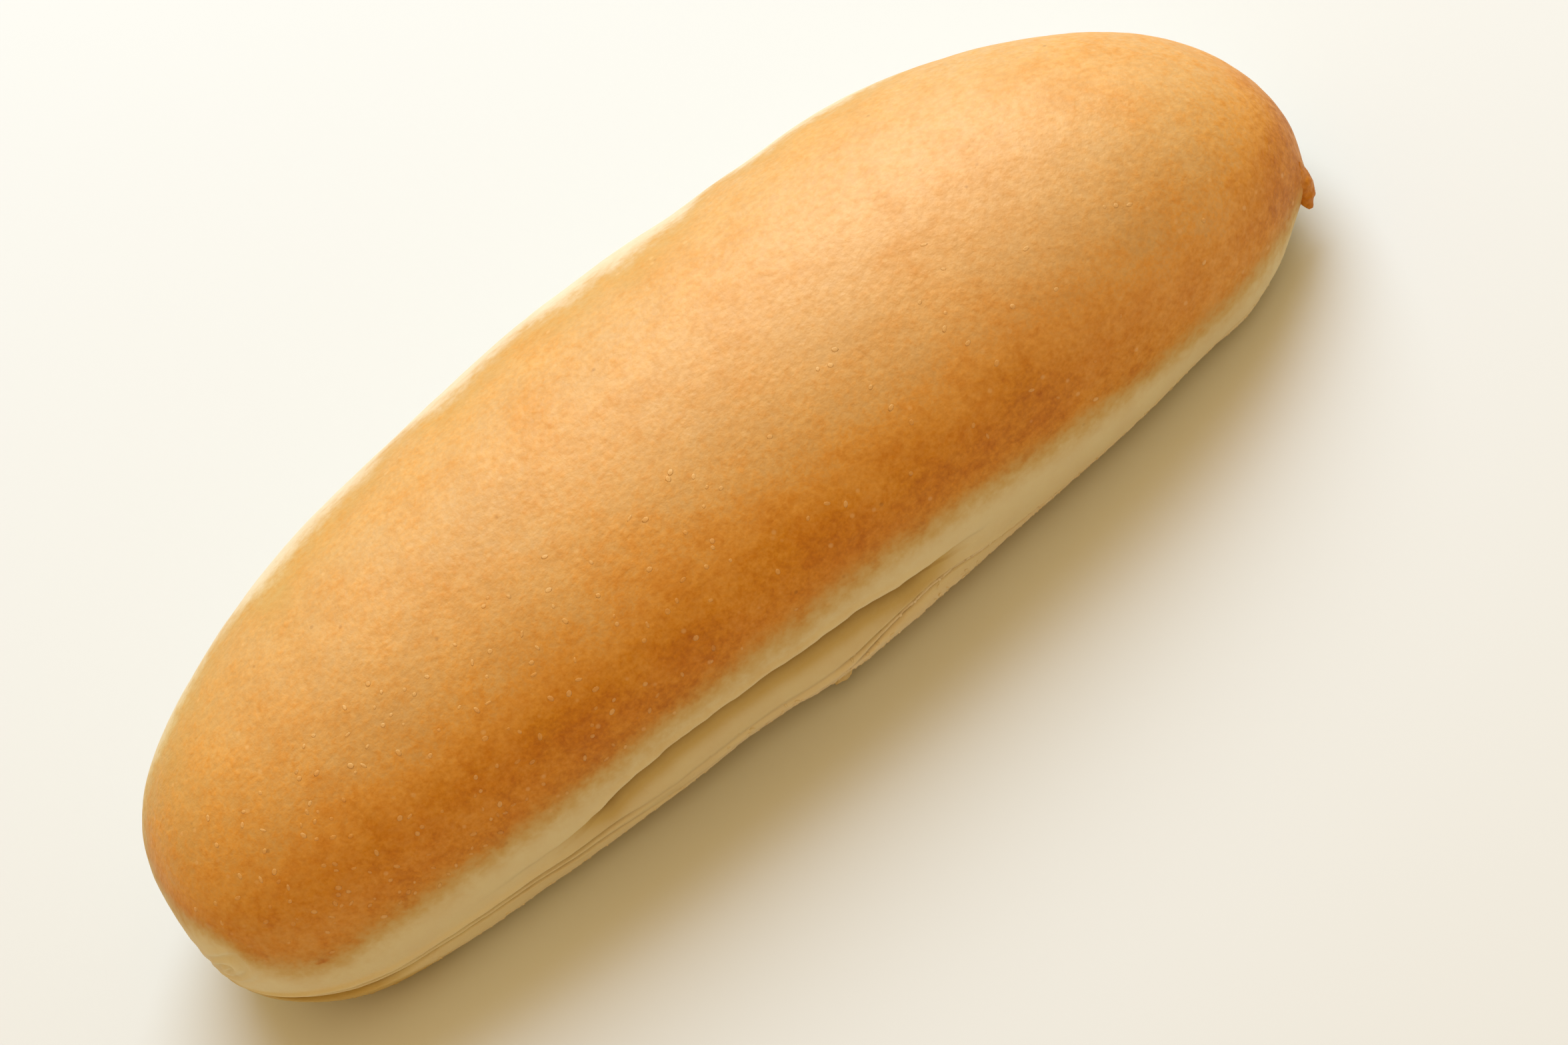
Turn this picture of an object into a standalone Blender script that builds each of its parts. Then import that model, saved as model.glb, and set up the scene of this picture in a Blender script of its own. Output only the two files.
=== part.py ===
"""Hoagie roll: one long soft bread roll lying on its flat base.

The crust is a sphere whose rings are drawn out along X into the sections of the roll, so it stays
one closed skin. Every section has a flat base, a heel, a crease where the top sprang over the heel
while it baked, and a round dome. A small tail of dough at the +X end and a torn bit of crust on
the heel are joined to it.

Metres, +Z up. X runs along the roll, -Y is the side with the open crease.
"""

import functools
import math

import bmesh
import bpy
from mathutils import Euler, Matrix, Vector

MM = 0.001

# Overall size
LENGTH = 203 * MM
WIDTH = 73 * MM
HEIGHT = 50 * MM

# Ends. Each is (height of the nose, width exponents, height exponents): a measure follows
# (1 - s^a)^(1/b), where s runs from 0 at mid-length to 1 at the nose.
LEFT_END = (15 * MM, (1.7, 3.45), (3.25, 3.05))
RIGHT_END = (14 * MM, (2.3, 2.45), (3.55, 1.7))

# The base is flat to this share of the half length and then lifts to the noses
FLAT_SHARE = 0.75
LIFT_POWER = 2.2

# The roll bows a little towards -Y at its ends and leans to one side
BOW = -5.5 * MM
BOW_NEUTRAL = 0.3
LEAN = 1.4 * MM

# Cross-section
WIDEST_SHARE = 0.42      # height of the widest line over the base, as a share of the section
DOME_POWER = 2.1         # superellipse over the widest line
HEEL_POWER = 7.0         # superellipse under it, nearly square at the base edge
HEEL_END_POWER = 2.6     # and rounder past the flat of the base, down to this at the noses
HEEL_ROUNDING = 1.3      # how late it turns rounder there
HEEL_TAPER = 0.12        # how much narrower the base is than the widest line
BASE_EDGE_DROP = 0.995   # how far down from the widest line to the base its flat starts

# The roll stands on the flat middle of its base. The rest of the base lies a little higher.
FOOT_SHARE = 0.58        # of the half length
FOOT_HALF_WIDTH = 12 * MM
FOOT_STEP = 0.15 * MM

# Crease round the heel
CREASE_HEIGHT = 10 * MM
CREASE_RISE = 8.5 * MM       # it climbs where it stands open on the -Y side
CREASE_RISE_AT = -13 * MM
CREASE_RISE_REACH = 33 * MM
CREASE_RISE_POWER = 2.6      # over 2, so that the climb ends in a flat top
CREASE_DROP = 3 * MM         # and runs lower towards the +X nose
CREASE_OPEN = 2.3 * MM       # depth where it stands open
CREASE_SHUT = 0.9 * MM       # depth elsewhere
CREASE_LIP = 0.4 * MM        # the lip's edge stands this far over the crease line
CREASE_FLOOR = 0.6 * MM      # the deepest point lies this far under it
CREASE_FADE = 8 * MM         # the heel comes out again over this height
CREASE_FADE_POWER = 1.3
CREASE_NOSE_FADE = 12 * MM   # it dies away where the section is lower than this
FAR_WAVE = 1.2 * MM          # on the +Y side it wanders up and down
FAR_WAVE_REACH = 23 * MM
FAR_DEPTH = (1.1 * MM, 0.4 * MM)   # and its depth there is the first, give or take the second
FAR_DEPTH_REACH = 31 * MM

# Swellings and hollows of the dough: place along X, direction round the section in degrees
# (0 is +Y, 90 is up, 180 is -Y), reach along X, reach in degrees, height
SWELLS = [
    (52 * MM, 34, 20 * MM, 34, 0.9 * MM),
    (-8 * MM, 34, 14 * MM, 30, 0.5 * MM),
    (-56 * MM, 34, 14 * MM, 30, 0.5 * MM),
    (21 * MM, 34, 7 * MM, 30, -0.7 * MM),
    (4 * MM, 208, 18 * MM, 24, 1.4 * MM),
    (-70 * MM, 208, 14 * MM, 24, 0.4 * MM),
    (-30 * MM, 112, 18 * MM, 20, -0.4 * MM),
    (30 * MM, 128, 22 * MM, 18, -0.35 * MM),
]

# Mesh of the skin
STATIONS = 66
FOOT_ROW_SHARE = 0.6                           # the foot's edge row, past the foot's own ends
BASE_ROWS_SHARE = (0.35, 0.70, 0.96)           # rows of the base from the foot out to its edge
EDGE_ROWS = (0.5 * MM, 1.3 * MM, 2.8 * MM)     # heights of the rows that round the base edge
HEEL_ROWS_SHARE = (0.35, 0.70)                 # rows from there up to the crease
WALL_ROWS_SHARE = (0.20, 0.45, 0.75)           # rows from the lip up to the widest line
DOME_ROWS = 16
NOSE_RADIUS = 0.1 * MM                         # no swelling moves what is closer to a nose

# Tail of dough at the +X end: a blunt lump whose lower side is drawn out to a hooked point
TAIL_AT = Vector((96.9, -14.6, 9.6)) * MM
TAIL_OUT = Vector((0.82, -0.44, -0.36))
TAIL_DOWN = Vector((-0.45, -0.62, -0.64))
TAIL_RADII = (2.0 * MM, 1.9 * MM, 2.5 * MM)    # outwards, across and downwards
TAIL_POINT = (0.45, 0.25, 0.7)     # its point is drawn down, leans out and is slimmer by these
TAIL_POINT_POWER = 3               # how near the point that starts
TAIL_SEGMENTS = 16
TAIL_RINGS = 12

# Torn bit of crust that hangs from the heel
BIT_AT = Vector((-1.8, -30.1, 1.9)) * MM
BIT_SIZE = Vector((2.3, 1.2, 1.0)) * MM
BIT_TURN = 18

CRUST_COLOUR = (0.60, 0.29, 0.075, 1.0)
CRUST_ROUGHNESS = 0.5


def clear_scene():
    for item in list(bpy.data.objects):
        bpy.data.objects.remove(item, do_unlink=True)


def crust_material():
    material = bpy.data.materials.new("browned_crust")
    material.use_nodes = True
    shader = material.node_tree.nodes["Principled BSDF"]
    shader.inputs["Base Color"].default_value = CRUST_COLOUR
    shader.inputs["Roughness"].default_value = CRUST_ROUGHNESS
    shader.inputs["Metallic"].default_value = 0.0
    return material


def fullness(s, powers):
    """Share of the full measure that is left at s, from 1 at mid-length to 0 at the nose."""
    rise, round_off = powers
    return max(0.0, 1 - abs(s) ** rise) ** (1 / round_off)


def past_flat(s):
    """0 where the base is flat, rising to 1 at the nose."""
    return max(0.0, (abs(s) - FLAT_SHARE) / (1 - FLAT_SHARE))


def section(s):
    """Half width, base, widest line and crown of the cross-section at s, from -1 to 1."""
    nose, width_powers, height_powers = LEFT_END if s < 0 else RIGHT_END
    half_width = WIDTH / 2 * fullness(s, width_powers)
    crown = nose + (HEIGHT - nose) * fullness(s, height_powers)
    base = nose * (1 - math.sqrt(max(0.0, 1 - past_flat(s) ** LIFT_POWER)))
    widest = base + (crown - base) * WIDEST_SHARE
    return half_width, base, widest, crown


def crease_line(s, side, base, widest):
    """Height and depth of the crease on one side: -1 is the open side, 1 the far one."""
    x = s * LENGTH / 2
    shut_height = CREASE_HEIGHT - CREASE_DROP * max(0.0, s) ** 2
    if side < 0:
        opening = math.exp(-abs((x - CREASE_RISE_AT) / CREASE_RISE_REACH) ** CREASE_RISE_POWER)
        height = shut_height + CREASE_RISE * opening
        depth = CREASE_SHUT + (CREASE_OPEN - CREASE_SHUT) * opening
    else:
        height = shut_height + FAR_WAVE * math.sin(x / FAR_WAVE_REACH)
        depth = FAR_DEPTH[0] + FAR_DEPTH[1] * math.cos(x / FAR_DEPTH_REACH)
    span = widest - base
    share = height / (HEIGHT * WIDEST_SHARE)
    nose_fade = min(1.0, span / CREASE_NOSE_FADE)
    return base + span * share, depth * nose_fade ** 2


def crease_inset(over, depth):
    """How far the skin is pulled in at a height over the crease line."""
    if over >= CREASE_LIP:
        return 0.0
    if over >= -CREASE_FLOOR:
        return depth * (CREASE_LIP - over) / (CREASE_LIP + CREASE_FLOOR)
    return depth * max(0.0, 1 - (-over - CREASE_FLOOR) / CREASE_FADE) ** CREASE_FADE_POWER


def foot_lift(s):
    return 0.0 if abs(s) <= FOOT_SHARE else FOOT_STEP


def heel_reach(s, drop):
    """Half width under the widest line, as a share: drop is 0 at that line and 1 at the base."""
    power = HEEL_POWER + (HEEL_END_POWER - HEEL_POWER) * past_flat(s) ** HEEL_ROUNDING
    return (1 - min(drop, 1.0) ** power) ** (1 / power) * (1 - HEEL_TAPER * drop ** 2)


def wall_point(s, z, crease, depth):
    half_width, base, widest, _ = section(s)
    drop = (widest - z) / max(widest - base, 1e-9)
    reach = half_width * heel_reach(s, drop) - crease_inset(z - crease, depth)
    return max(reach, 0.0), z


def side_rows(s, side):
    """Points (reach, z) of one side of the section, from the base outwards and up to the dome."""
    half_width, base, widest, crown = section(s)
    crease, depth = crease_line(s, side, base, widest)
    scale = (widest - base) / (HEIGHT * WIDEST_SHARE)
    edge = half_width * heel_reach(s, BASE_EDGE_DROP)
    foot = FOOT_HALF_WIDTH if abs(s) <= FOOT_SHARE else edge * FOOT_ROW_SHARE
    rows = [(foot, base + foot_lift(s))]
    rows += [(foot + (edge - foot) * share, base + FOOT_STEP) for share in BASE_ROWS_SHARE]
    heights = [base + height * scale for height in EDGE_ROWS]
    heel_top = crease - 2.5 * CREASE_FLOOR * scale
    lip = crease + CREASE_LIP * scale
    heights += [heights[-1] + (heel_top - heights[-1]) * share for share in HEEL_ROWS_SHARE]
    heights += [heel_top, crease - CREASE_FLOOR * scale, lip]
    heights += [lip + (widest - lip) * share for share in WALL_ROWS_SHARE]
    rows += [wall_point(s, z, crease, depth) for z in heights]
    for row in range(DOME_ROWS):
        angle = math.pi / 2 * row / DOME_ROWS
        reach = half_width * math.cos(angle) ** (2 / DOME_POWER)
        rows.append((reach, widest + (crown - widest) * math.sin(angle) ** (2 / DOME_POWER)))
    return rows


@functools.lru_cache(maxsize=None)
def ring(s):
    """The whole section as (y, z), from the middle of the base round by +Y and back by -Y."""
    half_width, base, widest, crown = section(s)
    far = [(reach, z) for reach, z in side_rows(s, 1)]
    near = [(-reach, z) for reach, z in side_rows(s, -1)]
    return [(0.0, base + foot_lift(s))] + far + [(0.0, crown)] + near[::-1]


def swell(x, y, z, widest, base):
    """Moves a point out or in by the swellings, and keeps the base flat."""
    out = Vector((y, z - widest))
    if z <= base + FOOT_STEP or out.length < NOSE_RADIUS:
        return y, z
    angle = math.degrees(math.atan2(out.y, out.x))
    shift = 0.0
    for at, direction, reach, spread, height in SWELLS:
        turn = (angle - direction + 180) % 360 - 180
        shift += height * math.exp(-((x - at) / reach) ** 2 - (turn / spread) ** 2)
    out += out.normalized() * shift
    return out.x, max(out.y + widest, base + FOOT_STEP)


def skin_point(s, row):
    _, base, widest, _ = section(s)
    y, z = ring(s)[row]
    x = s * LENGTH / 2
    if z == 0:
        return Vector((x, y, z))    # the foot is straight, whatever the bow
    y, z = swell(x, y, z, widest, base)
    return Vector((x, y + BOW * (s * s - BOW_NEUTRAL) + LEAN * s, z))


def build_skin():
    rows = len(ring(0.0))
    bm = bmesh.new()
    bmesh.ops.create_uvsphere(bm, u_segments=rows, v_segments=STATIONS, radius=1.0)
    for vert in bm.verts:
        row = round(math.atan2(vert.co.y, vert.co.x) / math.tau * rows) % rows
        vert.co = skin_point(max(-1.0, min(1.0, vert.co.z)), row)
    bmesh.ops.recalc_face_normals(bm, faces=bm.faces)
    mesh = bpy.data.meshes.new("hoagie_roll")
    bm.to_mesh(mesh)
    bm.free()
    return mesh


def add_object(name, mesh, collection):
    item = bpy.data.objects.new(name, mesh)
    collection.objects.link(item)
    return item


def build_tail():
    """A blunt lump of dough whose lower side is drawn out to a point."""
    out = TAIL_OUT.normalized()
    across = out.cross(TAIL_DOWN).normalized()
    down = across.cross(out)
    radius_out, radius_across, radius_down = TAIL_RADII
    draw, hook, slim_by = TAIL_POINT
    bm = bmesh.new()
    bmesh.ops.create_uvsphere(bm, u_segments=TAIL_SEGMENTS, v_segments=TAIL_RINGS, radius=1.0)
    for vert in bm.verts:
        drawn = max(0.0, vert.co.z) ** TAIL_POINT_POWER
        slim = 1 - slim_by * drawn
        vert.co = (
            TAIL_AT
            + out * (vert.co.x * slim + hook * drawn) * radius_out
            + across * vert.co.y * slim * radius_across
            + down * (vert.co.z + draw * drawn) * radius_down
        )
    bmesh.ops.recalc_face_normals(bm, faces=bm.faces)
    mesh = bpy.data.meshes.new("dough_tail")
    bm.to_mesh(mesh)
    bm.free()
    return mesh


def build_bit():
    bm = bmesh.new()
    bmesh.ops.create_icosphere(bm, subdivisions=2, radius=1.0)
    bmesh.ops.scale(bm, vec=BIT_SIZE, verts=bm.verts)
    turn = Euler((0, 0, math.radians(BIT_TURN))).to_matrix().to_4x4()
    bmesh.ops.transform(bm, matrix=Matrix.Translation(BIT_AT) @ turn, verts=bm.verts)
    mesh = bpy.data.meshes.new("torn_bit")
    bm.to_mesh(mesh)
    bm.free()
    return mesh


def join_to(roll, lumps):
    """Joins the small lumps to the roll by a Boolean union that stays on it."""
    for lump in lumps:
        lump.hide_render = True
        lump.display_type = "WIRE"
        union = roll.modifiers.new("join_" + lump.name, "BOOLEAN")
        union.operation = "UNION"
        union.solver = "EXACT"
        union.object = lump


def stand_on_origin(meshes):
    """Puts the origin under the middle of the roll's box."""
    points = [vert.co for vert in meshes[0].vertices]
    middle_x = (min(p.x for p in points) + max(p.x for p in points)) / 2
    middle_y = (min(p.y for p in points) + max(p.y for p in points)) / 2
    for mesh in meshes:
        mesh.transform(Matrix.Translation((-middle_x, -middle_y, 0)))


def main():
    clear_scene()
    model = bpy.data.collections.new("hoagie_roll_model")
    lumps = bpy.data.collections.new("joined_lumps")
    for collection in (model, lumps):
        bpy.context.scene.collection.children.link(collection)

    skin, tail, bit = build_skin(), build_tail(), build_bit()
    stand_on_origin([skin, tail, bit])
    skin.materials.append(crust_material())
    skin.shade_smooth()

    roll = add_object("hoagie_roll", skin, model)
    join_to(roll, [add_object("dough_tail", tail, lumps), add_object("torn_bit", bit, lumps)])


main()
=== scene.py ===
# Hoagie roll: the looks of one long soft bread roll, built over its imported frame.
# Metres, +Z up. X runs along the roll, -Y is the side with the open crease.
import math

import bmesh
import bpy
import numpy as np
from mathutils import Matrix, Vector, noise


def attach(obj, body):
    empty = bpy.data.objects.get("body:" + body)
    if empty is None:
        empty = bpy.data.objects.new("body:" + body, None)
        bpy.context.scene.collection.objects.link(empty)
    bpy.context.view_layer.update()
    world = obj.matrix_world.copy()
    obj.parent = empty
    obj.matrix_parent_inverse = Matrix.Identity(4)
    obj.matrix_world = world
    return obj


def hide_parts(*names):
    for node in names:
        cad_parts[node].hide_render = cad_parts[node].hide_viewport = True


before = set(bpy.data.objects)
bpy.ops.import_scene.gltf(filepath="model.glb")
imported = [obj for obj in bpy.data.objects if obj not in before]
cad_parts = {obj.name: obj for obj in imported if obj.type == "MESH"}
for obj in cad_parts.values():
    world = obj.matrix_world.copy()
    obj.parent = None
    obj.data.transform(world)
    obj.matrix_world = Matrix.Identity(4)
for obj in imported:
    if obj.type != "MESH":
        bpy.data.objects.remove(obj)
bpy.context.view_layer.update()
mm = 0.001

# Form of the crust. An end is (height of its nose, width powers, height powers).
crust = {
    "length": 203 * mm,
    "width": 73 * mm,
    "height": 50 * mm,
    "leftEnd": (15 * mm, (1.7, 3.45), (3.25, 3.05)),
    "rightEnd": (14 * mm, (2.3, 2.45), (3.55, 1.7)),
    "flatShare": 0.75,       # the base is flat to here and then lifts to the noses
    "liftPower": 2.2,
    "bow": -5.5 * mm,        # the ends bend towards the open side
    "bowNeutral": 0.3,
    "lean": 1.4 * mm,
    "widest": 21 * mm,       # nominal height of the widest line
    "domePower": 2.1,
    "heelPower": 7.0,
    "heelEndPower": 2.6,
    "heelRounding": 1.3,
    "heelTaper": 0.12,
    "baseEdgeDrop": 0.995,
    "stations": 362,
    "domeRows": 50,
    "baseRows": 9,
    "stationSpread": 0.55,   # 0 spaces them evenly along the roll, 1 crowds them at the noses
    "edgeWaver": 0.22 * mm,  # the foot of the heel wanders in and out
}

# Swellings of the dough: place along X in mm, direction round the section, reaches and height
swellings = [
    (52, 34, 20, 34, 0.9),
    (-8, 34, 14, 30, 0.5),
    (-56, 34, 14, 30, 0.5),
    (21, 34, 7, 30, -0.5),
    (34, 34, 6, 30, -0.45),
    (4, 208, 14, 24, 1.3),
    (-70, 208, 14, 24, 0.3),
    (-86, 211, 7, 18, 0.5),
    (-50, 208, 8, 24, 0.35),
    (24, 208, 6, 24, 0.2),
    (-17, 208, 8, 24, -0.5),
    (68, 212, 8, 20, -0.4),
    (79, 215, 7, 18, 0.6),
    (93, 200, 4, 20, -0.3),
    (-30, 112, 18, 20, -0.4),
    (30, 128, 22, 18, -0.35),
]

# The creases on the open side: guide points are (x, nominal height or depth), all in mm
crease = {
    "upperLine": [
        (-70, 14.2), (-50, 15), (-44, 15.2), (-41, 16.6), (-36, 18.2), (-30, 18.9), (-13, 18.9),
        (4, 18.4), (10, 17.4), (15, 16.2), (19, 15), (24, 14.5), (60, 12.6),
    ],
    "upperOpen": [
        (-64, 0), (-52, 0.12), (-43, 0.35), (-40, 0.85), (-30, 1), (4, 1), (13, 0.8), (20, 0.3),
        (27, 0),
    ],
    "upperDepth": 4.4 * mm,
    "openFade": 10 * mm,
    "lowerLine": [
        (-101, 17), (-98, 15.5), (-94, 13.6), (-90, 13), (-86, 12), (-80, 11), (-66, 10.9),
        (-55, 10.6), (-50, 9.8), (-38, 9), (-20, 8.5), (0, 9), (6, 10), (20, 10), (25, 8.8),
        (32, 7), (40, 6.4), (101, 6.4),
    ],
    "lowerDepth": [
        (-101, 1.2), (-95, 1.8), (-86, 1.7), (-76, 1.1), (-55, 1), (-44, 0.55), (-36, 0.12),
        (-2, 0.12), (7, 0.8), (24, 0.7), (36, 0.45), (48, 0.25), (70, 0.2), (101, 0.4),
    ],
    "lowerGap": [
        (-101, 2.4), (-94, 3.0), (-86, 2.8), (-76, 2.2), (-50, 2.2), (-10, 1.8), (10, 1.2),
        (101, 1.2),
    ],
    "ridgeLine": [
        (-101, 12), (-94, 9.6), (-86, 8.4), (-76, 7), (-60, 5.6), (-46, 4.8), (-38, 5.8),
        (-20, 7), (0, 7.6), (16, 6.7), (30, 4.4), (50, 3),
    ],
    "ridge": [               # how far the lower sheet's edge stands out
        (-101, 0.4), (-92, 0.8), (-84, 0.8), (-74, 0.45), (-62, 0.2), (-48, 0.2), (-40, 0.35),
        (-20, 0.6), (0, 0.8), (20, 0.7), (34, 0.35), (50, 0),
    ],
    "ridgeReach": (1.0 * mm, 1.9 * mm),   # over and under its line
    # grooves round the lower crease: place as a share of the gap, reach in mm, share of the depth
    "grooves": [(0, 0.4, 1.4), (0.45, 0.55, -0.5), (1, 0.34, 0.9), (-0.5, 0.6, -0.4)],
    "heelStep": 0.8,         # how far the heel steps in under the lower crease, by its depth
    "tornSpan": (2 * mm, 12 * mm, 30 * mm, 44 * mm),      # starts, is full, ebbs and ends along X
    "rimSpan": (-14 * mm, 4 * mm, 48 * mm, 64 * mm),      # the same for the foot's rim
    "edgeSpan": (-50 * mm, -15 * mm),     # the lower sheet's edge is torn from here on
    "farHeight": 10 * mm,
    "farDrop": 3 * mm,       # and this much lower at the +X end
    "farWave": (1.2 * mm, 23 * mm),
    "farDepth": (1.1 * mm, 0.4 * mm, 31 * mm),
    "farGap": (2.4 * mm, 0.5 * mm),
    # the far creases get this share of the near ones' painted shade
    "farDark": 0.45,         # how dark the far creases are against the near ones
    "farBroken": 0.8,        # how far the lowest far groove fades out in places
    "fade": 8 * mm,          # the heel comes out again over this height
    "fadePower": 1.3,
    "noseFade": 12 * mm,     # the creases die away where the section is lower than this
    "ragged": 0.28 * mm,     # how far a lip wanders up and down
    "facing": 4.6 * mm,      # least height of the torn face between the creases
    "zone": (-2.2 * mm, 1.3 * mm, 20),    # the open crease's reach down and up, and its rows
}

# Folds that run in a spiral round the lower side of the -X nose, which is pale
swirl = {
    "at": np.array((-98.6, -18.8, 21.0)) * mm,
    "out": Vector((-0.86, -0.45, -0.22)),
    "reach": 6.6 * mm,
    "pitch": 3.5 * mm,
    "squeeze": 0.62,         # the spiral is this much lower than it is long
    "lean": 0.5,
    "uneven": 0.9 * mm,
    "depth": 0.42 * mm,
    "narrow": 1.2,           # above 1 the folds are broad and the troughs narrow
    # painted shade in the fold troughs, as a share of the open crease's shade
    "dark": 0.12,            # how dark the troughs are
    "cream": (0.8 * mm, 9.2 * mm),   # pale up to the first distance, and browned from the second on
}

# Tail of dough at the +X end: a horn whose root spreads on the skin and whose end hooks down
tail = {
    "at": Vector((95.9, -16.3, 9.9)) * mm,
    "out": Vector((0.82, -0.44, -0.36)),
    "down": Vector((-0.45, -0.62, -0.64)),
    # each ring: how far out and down it lies, and its half thickness and half breadth, in mm
    "rings": [
        (-3, -0.8, 5.0, 4.8), (-1.5, -0.6, 4.2, 4.0), (-0.6, -0.3, 3.2, 3.2),
        (0.15, 0.1, 2.45, 2.45), (0.65, 0.7, 1.8, 1.9), (0.9, 1.2, 1.5, 1.6), (1.05, 1.8, 1.2, 1.3),
        (1.25, 2.3, 0.9, 0.95), (1.5, 2.8, 0.6, 0.65), (1.65, 3.15, 0.3, 0.32),
    ],
    "stations": 34,
    "segments": 40,
    "ragged": 0.14,
    "grains": [(700, 1.0), (1900, 0.6)],
    "masks": {"cover": 1.0, "browning": 0.95, "torn": 0.0},
    "flare": (1.1 * mm, 3.2 * mm),   # the crust rises to the tail: height and reach
    "scorch": (0.3, 14 * mm),        # and is browner round it: how much and how far
    "closer": 6,                     # power by which the cream comes nearer to it than that
}

# Profile of the open crease from the torn face up to the lip: height over the line in mm, and how
# far in it lies as a share of the depth. The lip hangs over, so the line goes in, up and back out.
openProfile = [
    (-2.2, 0.80), (-1.6, 0.86), (-1.0, 0.90), (-0.5, 0.94), (-0.1, 0.98), (0.2, 1.02), (0.42, 1.0),
    (0.5, 0.84), (0.42, 0.62), (0.25, 0.36), (0.1, 0.14), (0.08, 0.0), (0.2, -0.07), (0.42, -0.10),
    (0.7, -0.09), (1.0, -0.06), (1.3, -0.02),
]


def fullness(s, powers):
    # 1 in the middle of the roll, and 0 at its noses
    rise, roundOff = powers
    return np.maximum(0, 1 - np.abs(s) ** rise) ** (1 / roundOff)


def pastFlat(s):
    # 0 where the base is flat, and 1 at the noses
    return np.maximum(0, (np.abs(s) - crust["flatShare"]) / (1 - crust["flatShare"]))


def sectionAt(s):
    # half width, base, widest line and crown of the section at s, from -1 to 1
    ends = []
    for nose, widthPowers, heightPowers in (crust["leftEnd"], crust["rightEnd"]):
        crown = nose + (crust["height"] - nose) * fullness(s, heightPowers)
        base = nose * (1 - np.sqrt(np.maximum(0, 1 - pastFlat(s) ** crust["liftPower"])))
        ends.append((crust["width"] / 2 * fullness(s, widthPowers), base, crown))
    halfWidth, base, crown = [np.where(s < 0, left, right) for left, right in zip(*ends)]
    return halfWidth, base, base + (crown - base) * crust["widest"] / crust["height"], crown


def reachAt(s, rise):
    # half width as a share, at a nominal height over the base
    drop = np.clip(1 - rise / crust["widest"], 0, crust["baseEdgeDrop"])
    toEnd = pastFlat(s) ** crust["heelRounding"]
    power = crust["heelPower"] + (crust["heelEndPower"] - crust["heelPower"]) * toEnd
    heel = (1 - drop ** power) ** (1 / power) * (1 - crust["heelTaper"] * drop ** 2)
    top = np.clip((rise - crust["widest"]) / (crust["height"] - crust["widest"]), 0, 1)
    dome = (1 - top ** crust["domePower"]) ** (1 / crust["domePower"])
    return np.where(rise < crust["widest"], heel, dome)


def heightAt(s, rise):
    # real height of a nominal height
    base, widest, crown = sectionAt(s)[1:]
    low = base + (widest - base) * rise / crust["widest"]
    high = widest + (crown - widest) * (rise - crust["widest"]) / (crust["height"] - crust["widest"])
    return np.where(rise < crust["widest"], low, high)


def smoothLine(x, points, blur=3.0):
    # a line through guide points in mm, with its corners rounded
    at, value = zip(*points)
    offsets = np.linspace(-1.5, 1.5, 9)
    weights = np.exp(-offsets ** 2)
    lines = [w * np.interp(x / mm + offset * blur, at, value) for offset, w in zip(offsets, weights)]
    return sum(lines) / weights.sum() * mm


def waver(x, reach, seed):
    # a smooth uneven line between -1 and 1: waves of (rate, phase, share)
    waves = ((1, 0.7, 0.4), (1.73, 2.9, 0.3), (2.91, 4.4, 0.2), (4.7, 1.3, 0.1))
    return sum(np.sin(x / reach * rate + phase * (seed + 1)) * share for rate, phase, share in waves)


def spread(start, end, count, includeEnd=False):
    # evenly spaced columns from start to end
    shares = np.linspace(0, 1, count, endpoint=includeEnd)
    return start + (end - start) * shares[None, :]


def step(low, high, value):
    # rises smoothly from 0 at low to 1 at high
    t = np.clip((value - low) / (high - low), 0, 1)
    return t * t * (3 - 2 * t)


def fadeBelow(over, reach):
    # 1 over the line, and 0 at this reach under it
    return np.maximum(0, 1 - np.maximum(0, -over) / reach) ** crease["fadePower"]


def between(x, start, full, ebb, end):
    # 1 from full to ebb, and 0 outside start and end
    return step(start, full, x) * step(end, ebb, x)


def creaseLines(s, side):
    # the lines of one side's creases along the roll, how deep and open they are, and how torn
    x = s * crust["length"] / 2
    base, widest = sectionAt(s)[1:3]
    noseFade = np.minimum(1, (widest - base) / crease["noseFade"]) ** 2
    rag = waver(x, 4.1 * mm, 2 + side) + 0.5 * waver(x, 1.3 * mm, 5 + side)
    rag = crease["ragged"] * rag
    if side < 0:
        lines = {
            "lower": smoothLine(x, crease["lowerLine"]) + 0.5 * rag,
            "depth": smoothLine(x, crease["lowerDepth"]) * noseFade,
            "gap": smoothLine(x, crease["lowerGap"]),
            "upper": smoothLine(x, crease["upperLine"]) + rag,
            "open": smoothLine(x, crease["upperOpen"]) / mm,
            "ridge": smoothLine(x, crease["ridge"]) * noseFade,
            "ridgeLine": smoothLine(x, crease["ridgeLine"]) + 1.5 * rag,
            "torn": between(x, *crease["tornSpan"]),
            "rim": 0.5 + 0.3 * between(x, *crease["rimSpan"]),
        }
    else:
        wave, waveReach = crease["farWave"]
        deep, deeper, depthReach = crease["farDepth"]
        gap, wider = crease["farGap"]
        height = crease["farHeight"] - crease["farDrop"] * np.maximum(0, s) ** 2
        lines = {
            "lower": height + rag + wave * np.sin(x / waveReach),
            "depth": (deep + deeper * np.cos(x / depthReach)) * noseFade,
            "gap": gap + wider * waver(x, 19 * mm, 6),
            "upper": 16 * mm + 0 * x,
            "open": 0 * x,
            "ridge": 0 * x,
            "ridgeLine": 5 * mm + 0 * x,
            "torn": 0.35 + 0.65 * step(-0.3, 0.5, waver(x, 17 * mm, 8)),
            "rim": 0.15 + 0.2 * step(-0.3, 0.5, waver(x, 21 * mm, 9)),
        }
    lines["upper"] = np.maximum(lines["upper"], lines["lower"] + crease["facing"])
    return lines


def alongProfile(column):
    # the heights or the insets of the open crease's profile, spaced over its rows
    values = [point[column] for point in openProfile]
    flow = np.linspace(0, 1, crease["zone"][2])
    return np.interp(flow, np.linspace(0, 1, len(values)), values)[None, :]


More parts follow.
